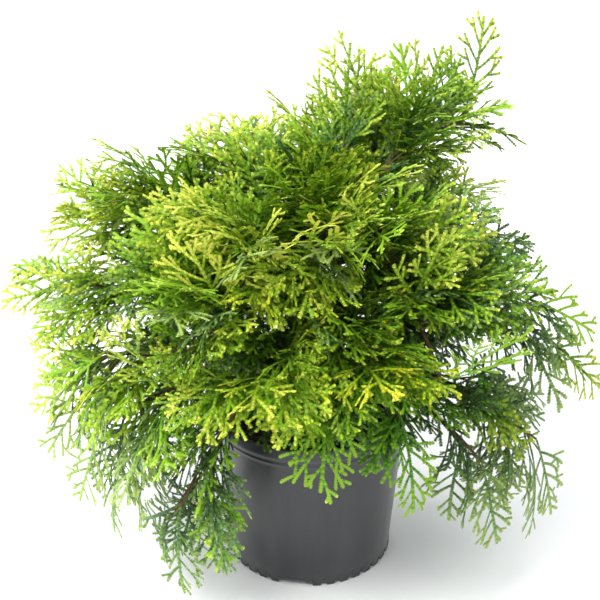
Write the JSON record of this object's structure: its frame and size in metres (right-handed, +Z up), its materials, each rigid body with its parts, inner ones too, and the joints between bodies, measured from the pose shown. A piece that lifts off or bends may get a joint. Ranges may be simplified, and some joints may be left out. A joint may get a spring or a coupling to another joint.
{
  "type": "potted dwarf hiba cedar",
  "caption": "Dwarf hiba cedar in a round black nursery pot: a low, spreading conifer crown of flat scale-leaved sprays, rising to an upright leader and hanging over the rim",
  "frame": {"origin": "centre of the pot's flat underside, which stands on the ground", "axes": "+Z up, front of the plant as pictured towards -Y, +X to the viewer's right"},
  "size_m": [0.5886, 0.4726, 0.536],
  "materials": {
    "pot": "satin charcoal polyethylene, finely scuffed",
    "potting_mix": "moist dark bark and peat mix",
    "bark": "thin fibrous red-brown bark, peeling in strips, green on the youngest twigs",
    "foliage": "waxy green scale leaves, yellow-green at the tips"
  },
  "bodies": {
    "root": {"pot": "pot", "potting_mix": "potting_mix", "trunk": "bark", "bough_front_left_hanging": "bark", "bough_right_hanging": "bark", "bough_back_left_low": "bark", "bough_left_hanging": "bark", "bough_front_right_hanging": "bark", "bough_back_right_low": "bark", "bough_right_low": "bark", "bough_front_overhanging": "bark", "bough_left_low": "bark", "bough_back_low": "bark", "bough_right_far_low": "bark", "bough_front_left_lower": "bark", "bough_back_left": "bark", "bough_right_far": "bark", "bough_front_right_lower": "bark", "bough_left_far": "bark", "bough_back_right": "bark", "bough_front_left_middle": "bark", "bough_right_shoulder": "bark", "bough_front_right_middle": "bark", "bough_left_shoulder": "bark", "bough_back_middle": "bark", "bough_front_left_upper": "bark", "bough_front_right_upper": "bark", "bough_back_leader": "bark", "bough_upper_left": "bark", "bough_right_leader": "bark", "foliage_front_left_hanging": "foliage", "foliage_right_hanging": "foliage", "foliage_back_left_low": "foliage", "foliage_left_hanging": "foliage", "foliage_front_right_hanging": "foliage", "foliage_back_right_low": "foliage", "foliage_right_low": "foliage", "foliage_front_overhanging": "foliage", "foliage_left_low": "foliage", "foliage_back_low": "foliage", "foliage_right_far_low": "foliage", "foliage_front_left_lower": "foliage", "foliage_back_left": "foliage", "foliage_right_far": "foliage", "foliage_front_right_lower": "foliage", "foliage_left_far": "foliage", "foliage_back_right": "foliage", "foliage_front_left_middle": "foliage", "foliage_right_shoulder": "foliage", "foliage_front_right_middle": "foliage", "foliage_left_shoulder": "foliage", "foliage_back_middle": "foliage", "foliage_front_left_upper": "foliage", "foliage_front_right_upper": "foliage", "foliage_back_leader": "foliage", "foliage_upper_left": "foliage", "foliage_right_leader": "foliage", "foliage_front_upper": "foliage", "foliage_top_left": "foliage", "foliage_crown_top": "foliage"}
  },
  "joints": []
}
